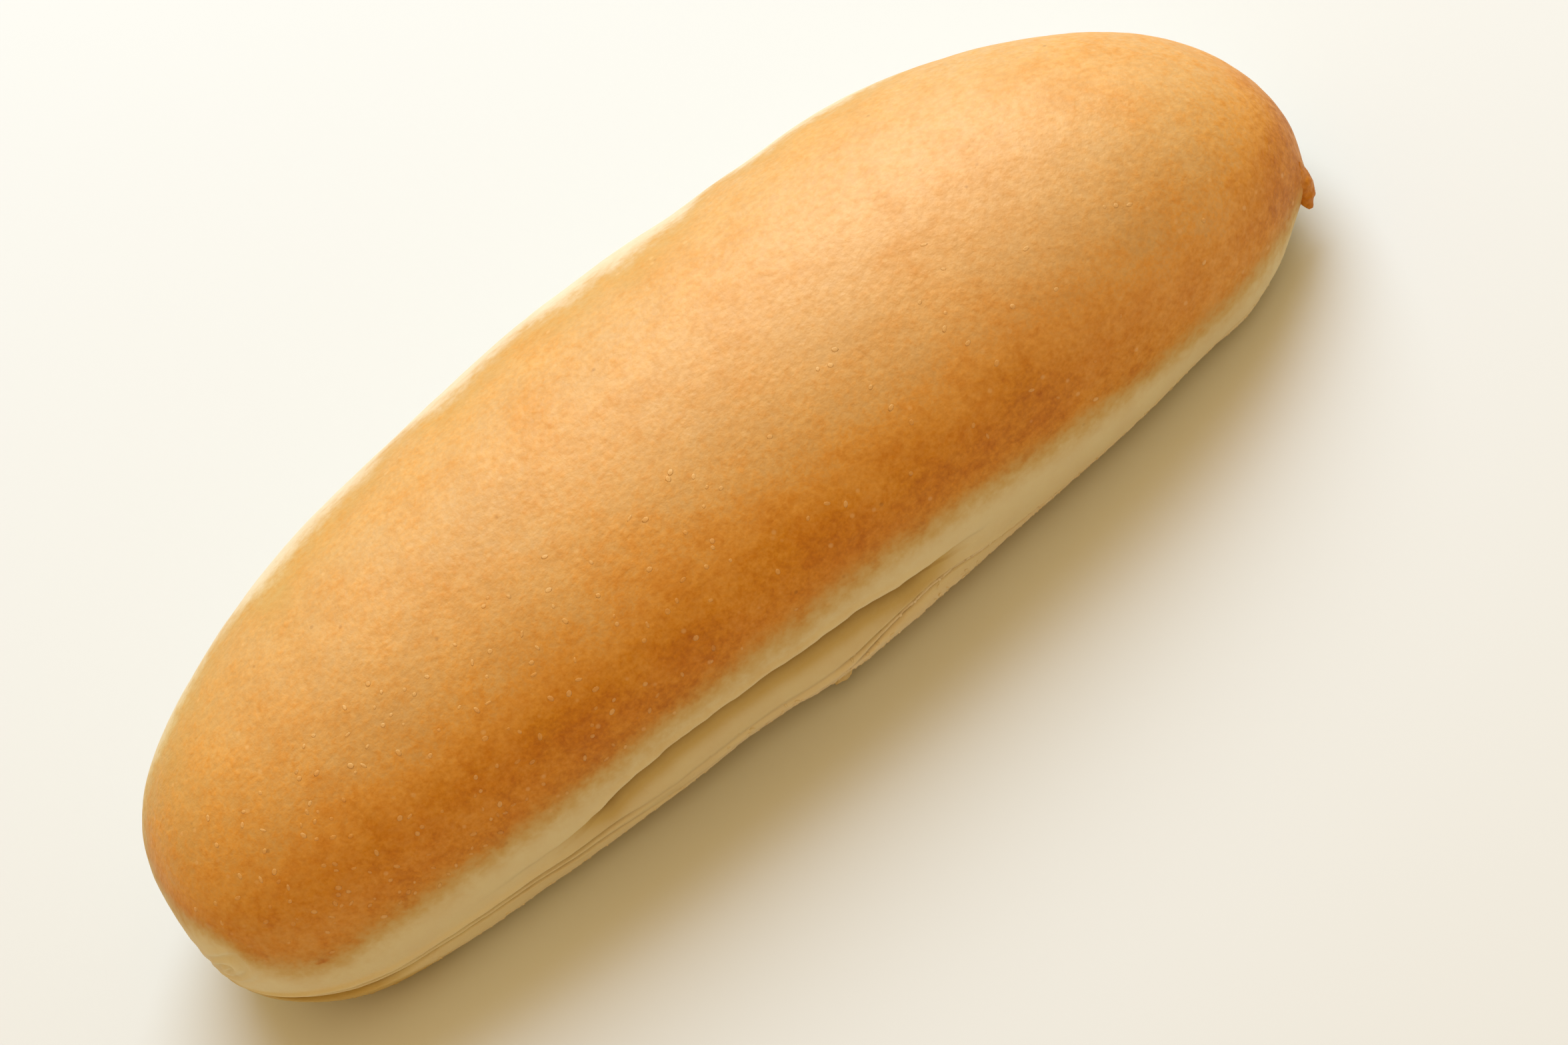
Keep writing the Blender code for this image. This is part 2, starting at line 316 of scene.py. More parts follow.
def wallRises(lines):
    # nominal heights of the rows: the foot of the heel, the heel, the lower crease, the face, the
    # open crease, and up past the widest line; and which rows are the open crease
    lower, upper = lines["lower"], lines["upper"]
    down, up, rows = crease["zone"]
    shutRise = spread(down, up, rows, includeEnd=True)
    zone = upper + shutRise + (alongProfile(0) * mm - shutRise) * np.minimum(1, lines["open"] * 1.6)
    under = lower - lines["gap"] - 1.1 * mm
    rises = [
        spread(0 * lower, 2.8 * mm, 9),
        spread(2.8 * mm, under, 5),
        spread(under, lower + 1.2 * mm, 26),
        spread(lower + 1.2 * mm, upper + down, 8),
        zone,
        spread(upper + up, np.maximum(24 * mm, upper + 3 * mm), 9)[:, 1:],
    ]
    start = sum(r.shape[1] for r in rises[:4])
    rise = np.concatenate([np.broadcast_to(r, (len(lower), r.shape[1])) for r in rises], axis=1)
    return rise, slice(start, start + rows)


def wallInsets(x, side, lines, rise, zone):
    # how far in each point of the wall lies, and how deep in a groove it is
    over = rise - lines["lower"]
    stepped = np.where(over > 0, step(0.4 * mm, 0.0, over), fadeBelow(over, crease["fade"]))
    groove = 0
    for at, wide, deep in crease["grooves"]:
        broken = (side > 0) * (at == 1) * crease["farBroken"] * step(-0.1, 0.5, waver(x, 11 * mm, 13))
        groove = groove + (1 - broken) * deep * np.exp(-((over + at * lines["gap"]) / (wide * mm)) ** 2)
    inset = crease["heelStep"] * lines["depth"] * stepped + lines["depth"] * groove

    # the face steps in under the open lip, and the lower sheet's edge stands out
    depth = crease["upperDepth"] * lines["open"]
    under = rise - lines["upper"]
    face = depth * fadeBelow(under - 0.6 * mm, crease["openFade"]) * (under < 0)
    face[:, zone] = depth * alongProfile(1)
    aside = rise - lines["ridgeLine"]
    ridge = lines["ridge"] * np.exp(-(aside / np.where(aside > 0, *crease["ridgeReach"])) ** 2)
    return inset + face - ridge, groove


def wallMasks(x, side, lines, rise, zone, groove):
    # where the wall is a fissure with painted shade, is torn, or lies in the painted shade of the open
    # crease
    openShare = lines["open"]
    # painted shade: deep groove bottoms are darkened in colour, and a dark line lies deep in the open
    # crease
    fissure = step(0.35, 0.9, groove) * np.minimum(1, lines["depth"] / (0.7 * mm))
    flow = np.linspace(0, 1, crease["zone"][2])[None, :]
    hole = np.exp(-((flow - 0.42) / 0.13) ** 2) * np.minimum(1, openShare * 2)
    fissure[:, zone] = np.maximum(fissure[:, zone], hole)
    fissure = fissure * (1 if side < 0 else crease["farDark"])

    over = (rise - lines["lower"]) / lines["gap"]
    torn = lines["torn"] * step(-1.3, -0.9, over) * step(0.3, 0.0, over)
    torn = np.maximum(torn, lines["rim"] * step(0, 3 * mm, rise) * step(7.5 * mm, 4.0 * mm, rise))
    edge = lines["ridge"] / (0.9 * mm) * step(*crease["edgeSpan"], x)
    aside = rise - lines["ridgeLine"]
    torn = np.maximum(torn, edge * np.exp(-((aside + 0.8 * mm) / (1.6 * mm)) ** 2))

    under = rise - lines["upper"]
    # painted shade: darkest just under the open lip, fading down the face
    shade = np.minimum(1, openShare * 1.35) * fadeBelow(under - 0.6 * mm, crease["openFade"])
    return {"fissure": fissure, "torn": torn, "shade": step(0.0, 0.8, shade) * (under < 0.3 * mm)}


def sideRows(s, side):
    # rows of one side of all sections, with masks: flat of the base, wall, and dome by angle
    x = s * crust["length"] / 2
    halfWidth, base = sectionAt(s)[:2]
    lines = creaseLines(s, side)
    rise, zone = wallRises(lines)
    inset, groove = wallInsets(x, side, lines, rise, zone)
    masks = wallMasks(x, side, lines, rise, zone, groove)

    domeRows, baseRows, power = crust["domeRows"], crust["baseRows"], crust["domePower"]
    domeHeight = crust["height"] - crust["widest"]
    start = np.arcsin(((rise[:, -1:] - crust["widest"]) / domeHeight) ** (power / 2))
    angle = start + (math.pi / 2 - start) * np.arange(1, domeRows + 1)[None, :] / (domeRows + 1)
    domeRise = crust["widest"] + domeHeight * np.sin(angle) ** (2 / power)
    foot = reachAt(s, 0 * x) * halfWidth
    wallReach = np.maximum(0, halfWidth * reachAt(s, rise) - inset)
    domeReach = halfWidth * np.cos(angle) ** (2 / power)
    baseShare = np.arange(1, baseRows + 1)[None, :] / (baseRows + 1)
    reach = np.concatenate([foot * baseShare, wallReach, domeReach], axis=1)
    z = np.concatenate([base + 0 * baseShare, heightAt(s, rise), heightAt(s, domeRise)], axis=1)
    return reach, z, {name: np.pad(share, ((0, 0), (baseRows, domeRows))) for name, share in masks.items()}


def swell(x, y, z, widest, base):
    # moves the points of each section out from its middle by the swellings
    out = z - widest
    length = np.maximum(np.hypot(y, out), 1e-7)
    angle = np.degrees(np.arctan2(out, y))
    shift = 0
    for at, direction, reach, reachAngle, height in swellings:
        turn = (angle - direction + 180) % 360 - 180
        shift = shift + height * mm * np.exp(-((x / mm - at) / reach) ** 2 - (turn / reachAngle) ** 2)
    shift = np.where((z <= base) | (length < 0.1 * mm), 0, shift)
    return y + y / length * shift, np.maximum(z + out / length * shift, base)


def swirlFolds(points):
    # how far each point moves for the spiral folds at the nose, and how deep in a trough it lies
    out = swirl["out"].normalized()
    side = out.cross(Vector((0, 0, 1))).normalized()
    up = side.cross(out)
    away = points - swirl["at"]
    u, v, depth = away @ np.array(side), away @ np.array(up), away @ np.array(out)
    v = v / swirl["squeeze"] + swirl["lean"] * u
    uneven = waver(u + 0.7 * v, 3.9 * mm, 7) + waver(v - 0.6 * u, 4.6 * mm, 3)
    r = np.hypot(u, v) + swirl["uneven"] * uneven
    trough = (0.5 - 0.5 * np.cos(2 * math.pi * r / swirl["pitch"] + np.arctan2(v, u))) ** swirl["narrow"]
    fade = np.exp(-(r / swirl["reach"]) ** 4) * step(-8 * mm, -4 * mm, depth)
    shift = swirl["depth"] * (0.35 - 1.6 * trough) * fade
    return shift[:, None] * np.array(out), trough * fade


def flareAt(points):
    # how far each point moves where the crust rises to the root of the tail
    height, reach = tail["flare"]
    away = np.linalg.norm(points - np.array(tail["at"]) - (0, 0, 1 * mm), axis=1)
    return (height * np.exp(-(away / reach) ** 2))[:, None] * np.array(tail["out"].normalized())


# Where the skin is browned: guide points are (x, height in mm where the cream ends)
browning = {
    "nearCream": [
        (-101, 30), (-98, 27), (-96, 23.5), (-93.5, 19.8), (-90, 17.4), (-86, 17), (-74, 20),
        (-60, 21), (-20, 22.5), (8, 22.8), (20, 21.5), (32, 19.5), (45, 17), (57, 14.5), (70, 12),
        (85, 10), (101, 8),
    ],
    "farCream": [
        (-101, 30), (-92, 39), (-70, 44.5), (-30, 46.5), (20, 46), (50, 43.5), (75, 35), (90, 22),
        (101, 12),
    ],
    "nearBlend": (-6.5 * mm, 7.0 * mm),
    "farBlend": (-7.5 * mm, 4.0 * mm),
    "farWaver": 2.3 * mm,
    "farTan": 0.3,             # how far the pale far side is tanned in places
    "mark": ((-86.5 * mm, 19.8 * mm), (1.5 * mm, 0.8 * mm)),   # dark, at the -X end: place and size
    "crown": 0.56,             # browning of the crown, and of the flank under it
    "flank": 0.86,
    # partly the crown's lighter bake, partly painted light that brightens the +X half
    "pale": [                            # how pale the crown is
        (-101, 0), (-85, 0.08), (-60, 0.22), (-37, 0.3), (0, 0.5), (33, 0.8), (55, 0.9), (80, 0.4),
        (101, 0.1),
    ],
    "paleAcross": (-0.55, -0.15, 0.25),  # where it starts, is full and ends, by width
    "flankLine": [
        (-90, 26), (-75, 29), (-55, 31), (10, 31), (33, 29), (58, 25), (85, 19), (101, 14),
    ],
    "flankReach": 9.5 * mm,
    # painted shade lies on the heel under this line at the -X nose
    "paintedShadeUnderNose": [(-101, 17.5), (-98, 15.5), (-94, 11.5), (-90, 10.2), (-86, 8.4), (-76, 6), (-60, 4)],
    "base": 0.7,               # how far the underside is toasted, and how brown it is there
    "baseBrown": 0.6,
    "baseReach": 90 * mm,
}


def farShare(across):
    return step(-0.6, 0.6, across)


def coverAt(x, z, across, byTail, fromNose):
    # how far the baked skin covers the cream, apart from the underside
    far = farShare(across)
    nearLine = smoothLine(x, browning["nearCream"], blur=5.0)
    farLine = smoothLine(x, browning["farCream"], blur=5.0)
    farLine = farLine + browning["farWaver"] * (waver(x, 9 * mm, 1) + 0.15 * waver(x, 2.7 * mm, 6))
    low, high = browning["nearBlend"]
    near = step(nearLine + low, nearLine + high, z)
    low, high = browning["farBlend"]
    away = step(farLine + low, farLine + high, z)
    tan = browning["farTan"] * step(12 * mm, 36 * mm, z) * (0.5 + 0.5 * waver(x, 13 * mm, 3))
    cover = near * (1 - far) + np.maximum(away, tan) * far
    cover = np.maximum(cover, byTail ** tail["closer"] * step(1 * mm, 5 * mm, z))
    cover = cover * (1 - 0.13 * step(-60 * mm, -92 * mm, x))
    return cover * (0.08 + 0.92 * step(*swirl["cream"], fromNose))


def palenessAt(x, z, across):
    # the crown is paler in a band that starts further towards the open side at the +X end; partly its own
    # lighter bake, partly painted light that brightens the +X half
    low, high, past = browning["paleAcross"]
    low = low - 0.3 * step(15 * mm, 60 * mm, x)
    crown = step(low - 0.35, high, across) * (1 - 0.75 * step(high, past + 0.35, across))
    return smoothLine(x, browning["pale"], blur=8.0) / mm * crown * step(21 * mm, 40 * mm, z)


def brownAt(points, half):
    # how far the baked skin covers the cream, how brown it is, and the pale of the crown
    x, y, z = points[:, 0], points[:, 1], points[:, 2]
    across = np.clip(y / np.maximum(half, 1 * mm), -1, 1)
    browner, reach = tail["scorch"]
    byTail = np.exp(-(np.linalg.norm(points - np.array(tail["at"]), axis=1) / reach) ** 2)
    fromNose = np.linalg.norm((points - swirl["at"]) * (1, 1, 0.8), axis=1)
    (markX, markZ), (markWide, markHigh) = browning["mark"]
    mark = np.exp(-(((x - markX) / markWide) ** 2 + ((z - markZ) / markHigh) ** 2) ** 2) * (y < 0)
    cover = np.maximum(coverAt(x, z, across, byTail, fromNose), 0.9 * mark)

    # brownest on the flank, and at the ends
    flankLine = smoothLine(x, browning["flankLine"], blur=8.0)
    flank = np.where(z < flankLine, 1, np.exp(-((z - flankLine) / browning["flankReach"]) ** 2))
    flank = flank * (1 - farShare(across)) * (1 - 0.45 * step(48 * mm, 82 * mm, x))
    along = x / (crust["length"] / 2)
    ends = 0.55 * step(0.6, 1.0, along) + 0.4 * step(0.6, 1.0, -along)
    baked = np.clip(flank + 0.35 * ends, 0, 1)
    level = browning["crown"] + (browning["flank"] - browning["crown"]) * baked
    level = np.maximum(level, np.minimum(level + browner * byTail, 0.93))
    pale = palenessAt(x, z, across) * (1 - byTail)

    # the underside is toasted, and its edge is not
    around = (np.abs(x / browning["baseReach"]) ** 3.5 + np.abs(across) ** 3.5) ** (1 / 3.5)
    around = around + 0.07 * waver(x, 14 * mm, 2) + 0.04 * waver(y, 4 * mm, 5)
    under = step(1.0, 0.62, around) * step(6 * mm, 2 * mm, z)
    level = level * (1 - under) + browning["baseBrown"] * under + 0.12 * mark
    return np.maximum(cover, browning["base"] * under), level, pale


def paintedShadeUnderNose(points):
    # painted shade: the heel is darkened where it lifts under the -X nose
    x, y, z = points[:, 0], points[:, 1], points[:, 2]
    under = smoothLine(x, browning["paintedShadeUnderNose"]) - z
    return 0.55 * step(-1 * mm, 1.6 * mm, under) * step(-60 * mm, -90 * mm, x) * step(4 * mm, -20 * mm, y)


def blisteredAt(points, cover):
    # blisters are thickest low on the open side of the -X half
    x, y, z = points[:, 0], points[:, 1], points[:, 2]
    share = (0.12 + 0.88 * step(20 * mm, -75 * mm, x)) * step(-10 * mm, -24 * mm, y)
    return share * step(0.5, 0.9, cover) * step(14 * mm, 22 * mm, z)


def loftRings(rings, noses):
    # closed mesh over the rings of points, with a point at either nose
    count, rows = rings.shape[:2]
    ring = np.arange(count - 1)[:, None] * rows
    row = np.arange(rows)[None, :]
    after = (row + 1) % rows
    quads = np.stack([ring + row, ring + rows + row, ring + rows + after, ring + after], axis=2)
    first, last = count * rows, count * rows + 1
    top = (count - 1) * rows
    fans = [(first, k, (k + 1) % rows) for k in range(rows)]
    fans += [(last, top + (k + 1) % rows, top + k) for k in range(rows)]
    return np.concatenate([rings.reshape(-1, 3), np.array(noses)]), quads.reshape(-1, 4).tolist() + fans


def buildCrustMesh():
    count = crust["stations"]
    t = (np.arange(1, count + 1) / (count + 1)) * 2 - 1
    crowded = crust["stationSpread"]
    s = ((1 - crowded) * t + crowded * np.sin(t * math.pi / 2))[:, None]
    x = s * crust["length"] / 2
    halfWidth, base, widest, crown = sectionAt(s)
    farReach, farZ, farMasks = sideRows(s, 1)
    nearReach, nearZ, nearMasks = sideRows(s, -1)
    y = np.concatenate([0 * s, farReach, 0 * s, -nearReach[:, ::-1]], axis=1)
    z = np.concatenate([base, farZ, crown, nearZ[:, ::-1]], axis=1)
    masks = {}
    for name, values in farMasks.items():
        masks[name] = np.concatenate([0 * s, values, 0 * s, nearMasks[name][:, ::-1]], axis=1)
    y, z = swell(x, y, z, widest, base)
    sway = crust["edgeWaver"] * waver(x, 9 * mm, 4) * np.exp(-((z - base) / (5 * mm)) ** 2)
    y = y + sway * np.sign(y) * (np.abs(y) > 0.5 * halfWidth)
    y = y + crust["bow"] * (s * s - crust["bowNeutral"]) + crust["lean"] * s
    noses = []
    for end, key in ((-1, "leftEnd"), (1, "rightEnd")):
        aside = crust["bow"] * (1 - crust["bowNeutral"]) + crust["lean"] * end
        noses.append((end * crust["length"] / 2, aside, crust[key][0]))
    points, faces = loftRings(np.stack([x + 0 * y, y, z], axis=2), noses)
    folds, troughs = swirlFolds(points)
    points += folds + flareAt(points)
    middle = (points.min(0) + points.max(0)) / 2 * (1, 1, 0)
    points -= middle

    half = np.append(np.repeat(halfWidth[:, 0], y.shape[1]), [1 * mm, 1 * mm])
    masks = {name: np.append(values.reshape(-1), [0, 0]) for name, values in masks.items()}
    # painted shade in the fold troughs and on the heel under the -X nose joins the crease's painted shade
    masks["shade"] = np.maximum(masks["shade"], np.maximum(swirl["dark"] * troughs, paintedShadeUnderNose(points)))
    masks["cover"], masks["browning"], masks["pale"] = brownAt(points, half)
    masks["blistered"] = blisteredAt(points, masks["cover"])
    bm = bmesh.new()
    verts = [bm.verts.new(point) for point in points]
    for face in faces:
        bm.faces.new([verts[k] for k in face])
    return maskMesh(bm, "crust", masks), Vector(middle)


def maskMesh(bm, name, masks):
    # turns the bmesh into a mesh whose points carry the masks, each a number or one for each point
    bmesh.ops.recalc_face_normals(bm, faces=bm.faces)
    mesh = bpy.data.meshes.new(name)
    bm.to_mesh(mesh)
    bm.free()
    for key, values in masks.items():
        layer = mesh.attributes.new(key, "FLOAT", "POINT")
        layer.data.foreach_set("value", np.broadcast_to(np.float32(values), len(mesh.vertices)))
    mesh.shade_smooth()
    return mesh


def addNode(tree, kind, inputs=None, **settings):
    # adds a node; an input is a fixed value or another node's socket
    node = tree.nodes.new(kind)
    for name, value in settings.items():
        setattr(node, name, value)
    for name, value in (inputs or {}).items():
        socket = node.inputs[name]
        if isinstance(value, bpy.types.NodeSocket):
            tree.links.new(value, socket)
        else:
            socket.default_value = value
    return node


def mathNode(tree, operation, first, second=0.0, clamp=False):
    node = addNode(tree, "ShaderNodeMath", {0: first, 1: second}, operation=operation, use_clamp=clamp)
    return node.outputs[0]


def times(tree, first, second):
    return mathNode(tree, "MULTIPLY", first, second)


def plus(tree, first, second, clamp=False):
    return mathNode(tree, "ADD", first, second, clamp)


def addInput(tree, name, kind, value=None):
    socket = tree.interface.new_socket(name=name, in_out="INPUT", socket_type=kind)
    if value is not None:
        socket.default_value = value
    return socket


def finishMesh(item, group, values):
    # runs a node group on a piece, keeps the result as a plain mesh and takes the modifier off
    modifier = item.modifiers.new(group.name, "NODES")
    modifier.node_group = group
    sockets = group.interface.items_tree
    named = {socket.name: socket.identifier for socket in sockets if socket.in_out == "INPUT"}
    for name, value in values.items():
        modifier[named[name]] = value
    bpy.context.view_layer.update()
    evaluated = item.evaluated_get(bpy.context.evaluated_depsgraph_get())
    result = bpy.data.meshes.new_from_object(evaluated)
    item.modifiers.clear()
    result.name = item.name
    item.data = result
    return item


# Relief of the skin, in metres: heights, and the sizes of what makes them
relief = {
    "Lump Height": 0.45 * mm,
    "Lump Size": 17 * mm,
    "Dimple Height": 0.18 * mm,
    "Dimple Size": 4.5 * mm,
    "Wrinkle Height": 0.06 * mm,
    "Wrinkle Size": 2.3 * mm,
    "Torn Height": 1.32 * mm,
    "Torn Size": 1.7 * mm,
}


def startTree(name, settings):
    # a new node group with a named input for each setting, and those inputs
    tree = bpy.data.node_groups.new(name, "GeometryNodeTree")
    addInput(tree, "Geometry", "NodeSocketGeometry")
    kinds = {str: "String", tuple: "Vector", float: "Float", int: "Int"}
    for key, value in settings.items():
        addInput(tree, key, "NodeSocket" + kinds[type(value)], value)
    addInput(tree, "Material", "NodeSocketMaterial")
    tree.interface.new_socket(name="Geometry", in_out="OUTPUT", socket_type="NodeSocketGeometry")
    return tree, tree.nodes.new("NodeGroupInput").outputs


def endTree(tree, geometry, material):
    # realizes and smooths the geometry, gives it its material and puts it out
    real = addNode(tree, "GeometryNodeRealizeInstances", {"Geometry": geometry}).outputs["Geometry"]
    smooth = addNode(tree, "GeometryNodeSetShadeSmooth", {"Geometry": real}).outputs["Geometry"]
    made = addNode(tree, "GeometryNodeSetMaterial", {"Geometry": smooth, "Material": material})
    addNode(tree, "NodeGroupOutput", {"Geometry": made.outputs["Geometry"]})


def namedMask(tree, name):
    node = addNode(tree, "GeometryNodeInputNamedAttribute", {"Name": name}, data_type="FLOAT")
    return node.outputs["Attribute"]


def unevenness(tree, place, size, detail, stretch=(1.0, 1.0, 1.0)):
    # noise around 0; a stretch above 1 makes it finer along that axis
    at = addNode(tree, "ShaderNodeVectorMath", {0: place, 1: stretch}, operation="MULTIPLY").outputs[0]
    scale = mathNode(tree, "DIVIDE", 1.0, size)
    bumps = addNode(tree, "ShaderNodeTexNoise", {"Vector": at, "Scale": scale, "Detail": detail})
    return mathNode(tree, "SUBTRACT", bumps.outputs[0], 0.5)


def reliefTree():
    # lifts the skin by lumps, dimples and wrinkles, and eats pits into it where it is torn
    tree, given = startTree("crustRelief", relief)
    place = addNode(tree, "GeometryNodeInputPosition").outputs["Position"]
    normal = addNode(tree, "GeometryNodeInputNormal").outputs["Normal"]
    skin = mathNode(tree, "SUBTRACT", 1.0, namedMask(tree, "fissure"), clamp=True)
    lump = times(tree, unevenness(tree, place, given["Lump Size"], 1.0), given["Lump Height"])
    dimple = times(tree, unevenness(tree, place, given["Dimple Size"], 2.0), given["Dimple Height"])
    wrinkle = unevenness(tree, place, given["Wrinkle Size"], 2.0, (1.6, 1.0, 1.0))
    fine = plus(tree, dimple, times(tree, wrinkle, given["Wrinkle Height"]))
    height = plus(tree, lump, times(tree, fine, skin))
    ragged = unevenness(tree, place, given["Torn Size"], 3.0, (0.7, 1.0, 1.3))
    pits = times(tree, mathNode(tree, "ABSOLUTE", ragged), namedMask(tree, "torn"))
    height = mathNode(tree, "SUBTRACT", height, times(tree, pits, given["Torn Height"]))

    # the flat underside keeps its level
    up = addNode(tree, "ShaderNodeSeparateXYZ", {"Vector": place}).outputs["Z"]
    lift = addNode(tree, "ShaderNodeMapRange", {"Value": up, "From Min": 0.05 * mm, "From Max": 1.5 * mm})
    values = {0: normal, "Scale": times(tree, height, lift.outputs["Result"])}
    offset = addNode(tree, "ShaderNodeVectorMath", values, operation="SCALE").outputs[0]
    moved = addNode(tree, "GeometryNodeSetPosition", {"Geometry": given["Geometry"], "Offset": offset})
    endTree(tree, moved.outputs["Geometry"], given["Material"])
    return tree


# Colours of the baked skin by how brown it is
crustColours = [
    (0.30, (0.67, 0.48, 0.23)),
    (0.45, (0.69, 0.455, 0.19)),
    (0.58, (0.76, 0.445, 0.14)),
    (0.70, (0.81, 0.40, 0.075)),
    (0.86, (0.70, 0.29, 0.017)),
    (1.00, (0.51, 0.172, 0.005)),
]
crustFinish = {
    "toneColour": (0.93, 0.83, 0.66),     # darkens the soft patches
    "fineColour": (0.84, 0.79, 0.72),     # and its fine grain
    "creamColour": (0.80, 0.72, 0.44),
    "farCreamColour": (0.83, 0.76, 0.56),
    "tanColour": (0.69, 0.52, 0.22),      # where the cream begins to brown
    "farTanColour": (0.77, 0.60, 0.37),
    "goldColour": (0.62, 0.36, 0.08),     # where it is nearly browned
    # pale crown colour, partly painted light
    "paleColour": (0.90, 0.57, 0.265),
    "crumbColour": (0.75, 0.60, 0.36),
    "rimColour": (0.90, 0.80, 0.575),
    # painted shade: a soft darker tint over the recess under the open lip
    "recessShadeColour": (0.64, 0.47, 0.145),
    # painted shade in the bottoms of the grooves
    "fissureShadeColour": (0.34, 0.22, 0.08),
    # painted shade, darkest deep under the open lip
    "shadeColour": (0.33, 0.20, 0.04),    # deep in the open crease
    "blisterColour": (0.86, 0.56, 0.24),
    "speckColour": (0.20, 0.062, 0.012),
    "creamRough": 0.72,
    "brownRough": 0.5,
    "shine": 0.24,
    "grainHeight": 0.07 * mm,
    "wrinkleHeight": 0.08 * mm,
    "pebbleHeight": 0.075 * mm,
    "pebbleSize": 1.15 * mm,
}

# Noises that the skin's colours and bumps share: size, detail and roughness
skinNoises = {
    "clouds": (24 * mm, 2.0, 0.5),
    "tone": (7.5 * mm, 4.0, 0.62),
    "patches": (6 * mm, 3.0, 0.6),
    "mottle": (1.6 * mm, 3.0, 0.6),
    "fine": (0.95 * mm, 2.0, 0.6),
    "grain": (0.55 * mm, 2.0, 0.6),
}


def mask(tree, name):
    return addNode(tree, "ShaderNodeAttribute", attribute_name=name).outputs["Fac"]


def mapped(tree, value, low, high, toLow=0.0, toHigh=1.0):
    values = {"Value": value, "From Min": low, "From Max": high, "To Min": toLow, "To Max": toHigh}
    node = addNode(tree, "ShaderNodeMapRange", values, interpolation_type="SMOOTHSTEP")
    return node.outputs["Result"]


def mixed(tree, factor, first, second, kind="MIX"):
    node = addNode(tree, "ShaderNodeMix", data_type="RGBA", blend_type=kind)
    for socket, value in zip((node.inputs[0], node.inputs[6], node.inputs[7]), (factor, first, second)):
        if isinstance(value, bpy.types.NodeSocket):
            tree.links.new(value, socket)
        elif isinstance(value, tuple):
            socket.default_value = (*value, 1)
        else:
            socket.default_value = value
    return node.outputs[2]


def swung(tree, value, most):
    return mapped(tree, value, 0.2, 0.8, -most, most)


def dots(tree, place, size, radius, few, cover, most):
    # a dot in some of the cells of this size, where the skin is baked
    cells = addNode(tree, "ShaderNodeTexVoronoi", {"Vector": place, "Scale": 1 / size})
    dot = mapped(tree, cells.outputs["Distance"], radius, radius * 0.35)
    pick = addNode(tree, "ShaderNodeSeparateColor", {"Color": cells.outputs["Color"]}).outputs[0]
    dot = times(tree, dot, mapped(tree, pick, few, few + 0.12))
    return times(tree, dot, mapped(tree, cover, 0.3, 0.7, 0.0, most))


def bakedColour(tree, skin):
    # a ramp by how brown the skin is, paler on the crown (partly painted light towards +X), with soft
    # darker patches
    uneven = mapped(tree, skin["clouds"], 0.25, 0.75, -0.045, 0.045)
    for name, most in (("patches", 0.04), ("mottle", 0.05), ("grain", 0.05)):
        uneven = plus(tree, uneven, swung(tree, skin[name], most))
    level = plus(tree, mask(tree, "browning"), uneven, clamp=True)
    ramp = addNode(tree, "ShaderNodeValToRGB", {"Fac": level})
    while len(ramp.color_ramp.elements) < len(crustColours):
        ramp.color_ramp.elements.new(0.5)
    for element, (at, colour) in zip(ramp.color_ramp.elements, crustColours):
        element.position = at
        element.color = (*colour, 1)
    baked = mixed(tree, mask(tree, "pale"), ramp.outputs["Color"], crustFinish["paleColour"])

    tone = mapped(tree, skin["tone"], 0.4, 0.66)
    tone = times(tree, times(tree, tone, mapped(tree, skin["clouds"], 0.3, 0.6, 0.6, 1.0)), 0.7)
    fine = times(tree, mapped(tree, skin["fine"], 0.32, 0.68), 0.5)
    patches = [
        (tone, "toneColour"),
        (mapped(tree, skin["mottle"], 0.45, 0.75, 0.0, 0.5), "toneColour"),
        (fine, "fineColour"),
    ]
    for factor, name in patches:
        baked = mixed(tree, factor, baked, crustFinish[name], "MULTIPLY")
    return baked


def skinColour(tree, skin, place, cover):
    # the baked skin gives way to the cream through a mottled edge
    edge = times(tree, cover, mathNode(tree, "SUBTRACT", 1.0, cover))
    speckle = plus(tree, swung(tree, skin["patches"], 0.1), swung(tree, skin["mottle"], 0.1))
    covered = plus(tree, cover, times(tree, times(tree, edge, 4.0), speckle), clamp=True)
    across = addNode(tree, "ShaderNodeSeparateXYZ", {"Vector": place}).outputs["Y"]
    toFar = mapped(tree, across, -6 * mm, 20 * mm)
    cream = mixed(tree, toFar, crustFinish["creamColour"], crustFinish["farCreamColour"])
    patchy = mapped(tree, skin["patches"], 0.25, 0.75, 0.0, 0.3)
    cream = mixed(tree, patchy, cream, crustFinish["crumbColour"])
    toFar = mapped(tree, across, 6 * mm, 22 * mm)
    tan = mixed(tree, toFar, crustFinish["tanColour"], crustFinish["farTanColour"])
    colour = mixed(tree, mapped(tree, covered, 0.0, 0.55), cream, tan)
    colour = mixed(tree, mapped(tree, covered, 0.3, 0.85), colour, crustFinish["goldColour"])
    colour = mixed(tree, mapped(tree, covered, 0.5, 1.0), colour, bakedColour(tree, skin))

    # small pale blisters, a few dark specks, the torn and raised places, and painted shade in the open
    # crease and the fissures
    marks = [
        (dots(tree, place, 2.6 * mm, 0.2, 0.62, cover, 0.4), "blisterColour"),
        (dots(tree, place, 3.4 * mm, 0.13, 0.82, cover, 0.3), "speckColour"),
        (times(tree, mask(tree, "torn"), 0.9), "rimColour"),
        # painted shade under the open lip: a soft tint, then a dark one deep in the crease
        (mapped(tree, mask(tree, "shade"), 0.0, 0.4, 0.0, 0.85), "recessShadeColour"),
        (mapped(tree, mask(tree, "shade"), 0.3, 1.0, 0.0, 0.88), "shadeColour"),
        # painted shade in the fissures
        (times(tree, mask(tree, "fissure"), 0.8), "fissureShadeColour"),
        (times(tree, mask(tree, "raised"), 0.7), "blisterColour"),
    ]
    for factor, name in marks:
        colour = mixed(tree, factor, colour, crustFinish[name])
    return colour


